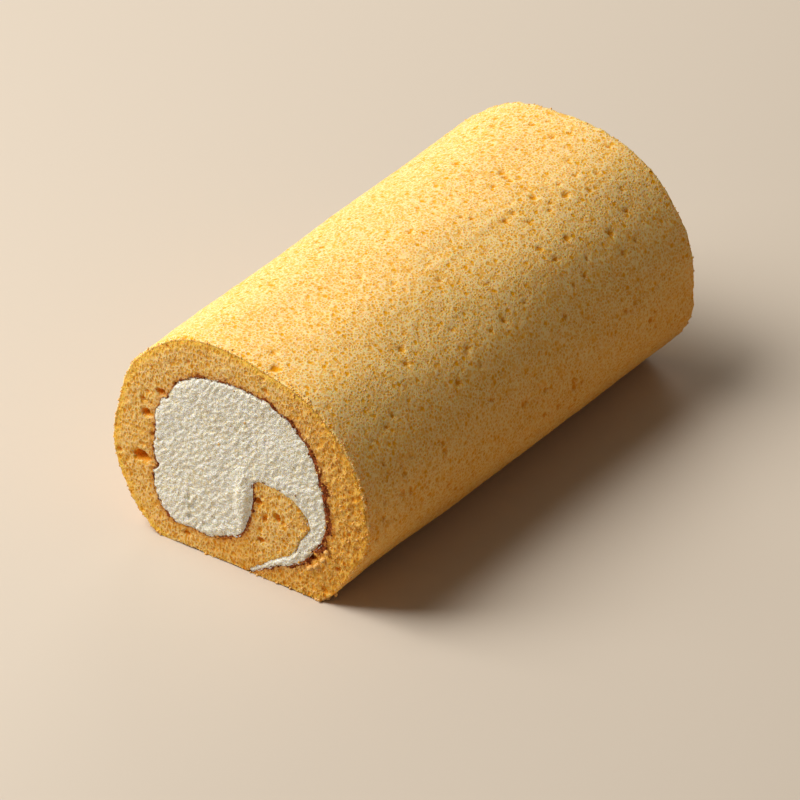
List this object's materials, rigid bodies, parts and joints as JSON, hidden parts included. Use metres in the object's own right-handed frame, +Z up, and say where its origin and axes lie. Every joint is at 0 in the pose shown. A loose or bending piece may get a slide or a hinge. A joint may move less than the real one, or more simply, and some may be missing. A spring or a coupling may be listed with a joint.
{
  "type": "swiss roll cake",
  "caption": "Whole rolled sponge cake with a thick whipped cream filling, cut square at both ends and resting on its flattened underside.",
  "frame": {"origin": "middle of the flattened underside, on the surface the cake rests on", "axes": "+Z up, +Y along the roll from the shown cut face to the far one, +X to the right as one faces the shown cut face"},
  "size_m": [0.102, 0.173, 0.0788],
  "materials": {
    "sponge": null,
    "cream": null
  },
  "bodies": {
    "root": {"sponge": "sponge", "cream": "cream"}
  },
  "joints": []
}
